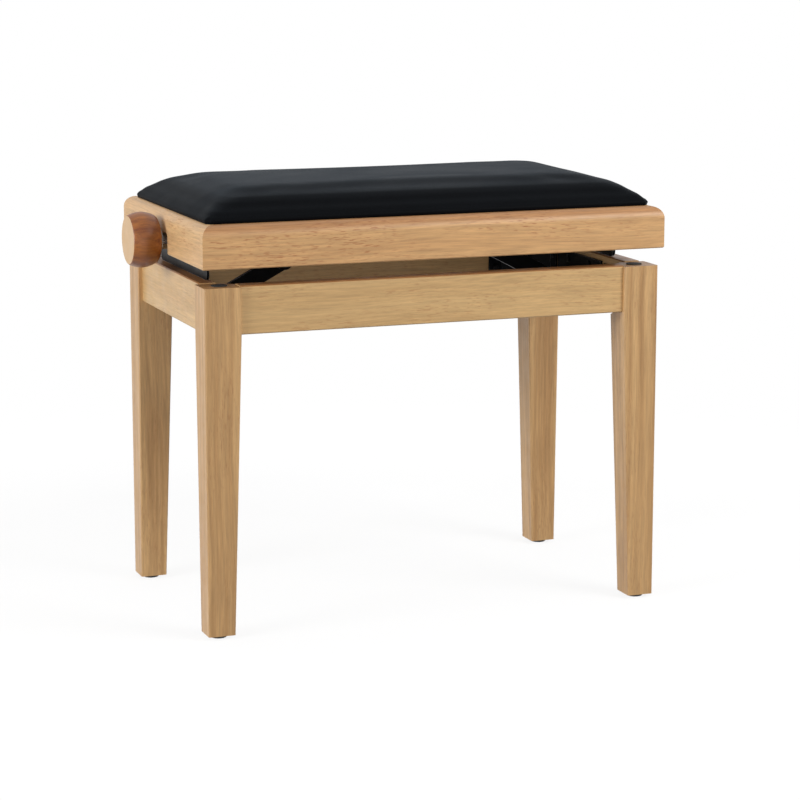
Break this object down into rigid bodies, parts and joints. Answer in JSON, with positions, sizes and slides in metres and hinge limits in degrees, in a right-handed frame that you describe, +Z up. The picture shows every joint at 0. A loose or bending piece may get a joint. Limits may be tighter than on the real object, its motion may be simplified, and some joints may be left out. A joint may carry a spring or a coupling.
{
  "type": "piano bench",
  "caption": "Height-adjustable piano bench with tapered wooden legs, mitred seat frame, velour cushion and a knob-driven scissor lift.",
  "frame": {"origin": "on the floor under the middle of the seat", "axes": "+X along the bench, away from the knob; +Y to the rear; +Z up"},
  "size_m": [0.589, 0.332, 0.496],
  "materials": {
    "leg_wood": "satin clear lacquer",
    "apron_wood": "satin clear lacquer",
    "seat_wood": "satin clear lacquer",
    "knob_wood": "satin clear lacquer",
    "block_wood": "raw wood",
    "plywood": "raw plywood",
    "velour": "black velour",
    "black_steel": "black powder coat",
    "black_screw": "black oxide",
    "plated_steel": "zinc plated",
    "zinc": "zinc plated",
    "rubber": "matt black",
    "black_plastic": "matt black",
    "bush_plastic": "off-white nylon"
  },
  "bodies": {
    "base": {"leg_front_left": "leg_wood", "leg_front_right": "leg_wood", "leg_rear_left": "leg_wood", "leg_rear_right": "leg_wood", "apron_front": "apron_wood", "apron_rear": "apron_wood", "apron_left": "apron_wood", "apron_right": "apron_wood", "corner_plates": "black_steel", "hanger_bolts": "zinc", "hanger_nuts": "zinc", "corner_plate_screws": "black_screw", "foot_glides": "black_plastic", "glide_nails": "zinc", "leg_pads": "rubber", "base_bracket_left": "black_steel", "base_bracket_right": "black_steel", "base_bracket_screws": "black_screw", "base_pivot_rods": "zinc", "base_rod_clips": "zinc"},
    "left_lever": {"lever_left": "black_steel", "lever_rivet_left": "black_screw"},
    "right_lever": {"lever_right": "black_steel", "lever_rivet_right": "black_screw"},
    "left_link": {"link_left": "black_steel"},
    "right_link": {"link_right": "black_steel"},
    "left_nut": {"spindle_nut_left": "zinc", "trunnion_clip_left": "zinc"},
    "right_nut": {"spindle_nut_right": "zinc", "trunnion_clip_right": "zinc"},
    "seat": {"seat_rail_front": "seat_wood", "seat_rail_rear": "seat_wood", "seat_rail_left": "seat_wood", "seat_rail_right": "seat_wood", "seat_corner_blocks": "block_wood", "mitre_braces": "plated_steel", "mitre_brace_screws": "zinc", "seat_bracket_left": "black_steel", "seat_bracket_right": "black_steel", "seat_bracket_screws": "black_screw", "seat_pivot_rods": "zinc", "seat_rod_clips": "zinc", "seat_board": "plywood", "seat_board_screws": "black_screw", "cushion": "velour", "spindle_bush_left": "bush_plastic", "spindle_bush_right": "bush_plastic"},
    "height_spindle": {"spindle": "zinc", "knob": "knob_wood", "knob_set_screw": "black_screw", "knob_washer": "zinc", "spindle_collars": "zinc", "collar_set_screws": "black_screw"}
  },
  "joints": [
    {"name": "lift", "type": "hinge", "parent": "base", "child": "left_lever", "pos_m": [-0.2197, 0, 0.356], "axis": [0, -1, 0], "range_deg": [0, 42.3]},
    {"name": "left_link_fold", "type": "hinge", "parent": "left_lever", "child": "left_link", "pos_m": [-0.13494, 0, 0.4005], "axis": [0, -1, 0], "range_deg": [-84.6, 0]},
    {"name": "seat_level", "type": "hinge", "parent": "left_link", "child": "seat", "pos_m": [-0.2197, 0, 0.445], "axis": [0, -1, 0], "range_deg": [0, 42.3]},
    {"name": "left_nut_turn", "type": "hinge", "parent": "left_lever", "child": "left_nut", "pos_m": [-0.05018, 0, 0.445], "axis": [0, -1, 0], "range_deg": [-42.3, 0]},
    {"name": "right_lever_turn", "type": "hinge", "parent": "base", "child": "right_lever", "pos_m": [0.2197, 0, 0.356], "axis": [0, 1, 0], "range_deg": [0, 42.3]},
    {"name": "right_link_fold", "type": "hinge", "parent": "right_lever", "child": "right_link", "pos_m": [0.13494, 0, 0.4005], "axis": [0, 1, 0], "range_deg": [-84.6, 0]},
    {"name": "right_nut_turn", "type": "hinge", "parent": "right_lever", "child": "right_nut", "pos_m": [0.05018, 0, 0.445], "axis": [0, 1, 0], "range_deg": [-42.3, 0]},
    {"name": "spindle_turn", "type": "hinge", "parent": "seat", "child": "height_spindle", "pos_m": [-0.282, 0, 0.4304], "axis": [1, 0, 0], "range_deg": [0, 9367]}
  ],
  "couplings": [
    {"joint": "left_link_fold", "follows": "lift", "ratio": -2},
    {"joint": "seat_level", "follows": "lift", "ratio": 1},
    {"joint": "left_nut_turn", "follows": "lift", "ratio": -1},
    {"joint": "right_lever_turn", "follows": "lift", "ratio": 1},
    {"joint": "right_link_fold", "follows": "lift", "ratio": -2},
    {"joint": "right_nut_turn", "follows": "lift", "ratio": -1},
    {"joint": "spindle_turn", "follows": "lift", "ratio": 221.4}
  ]
}
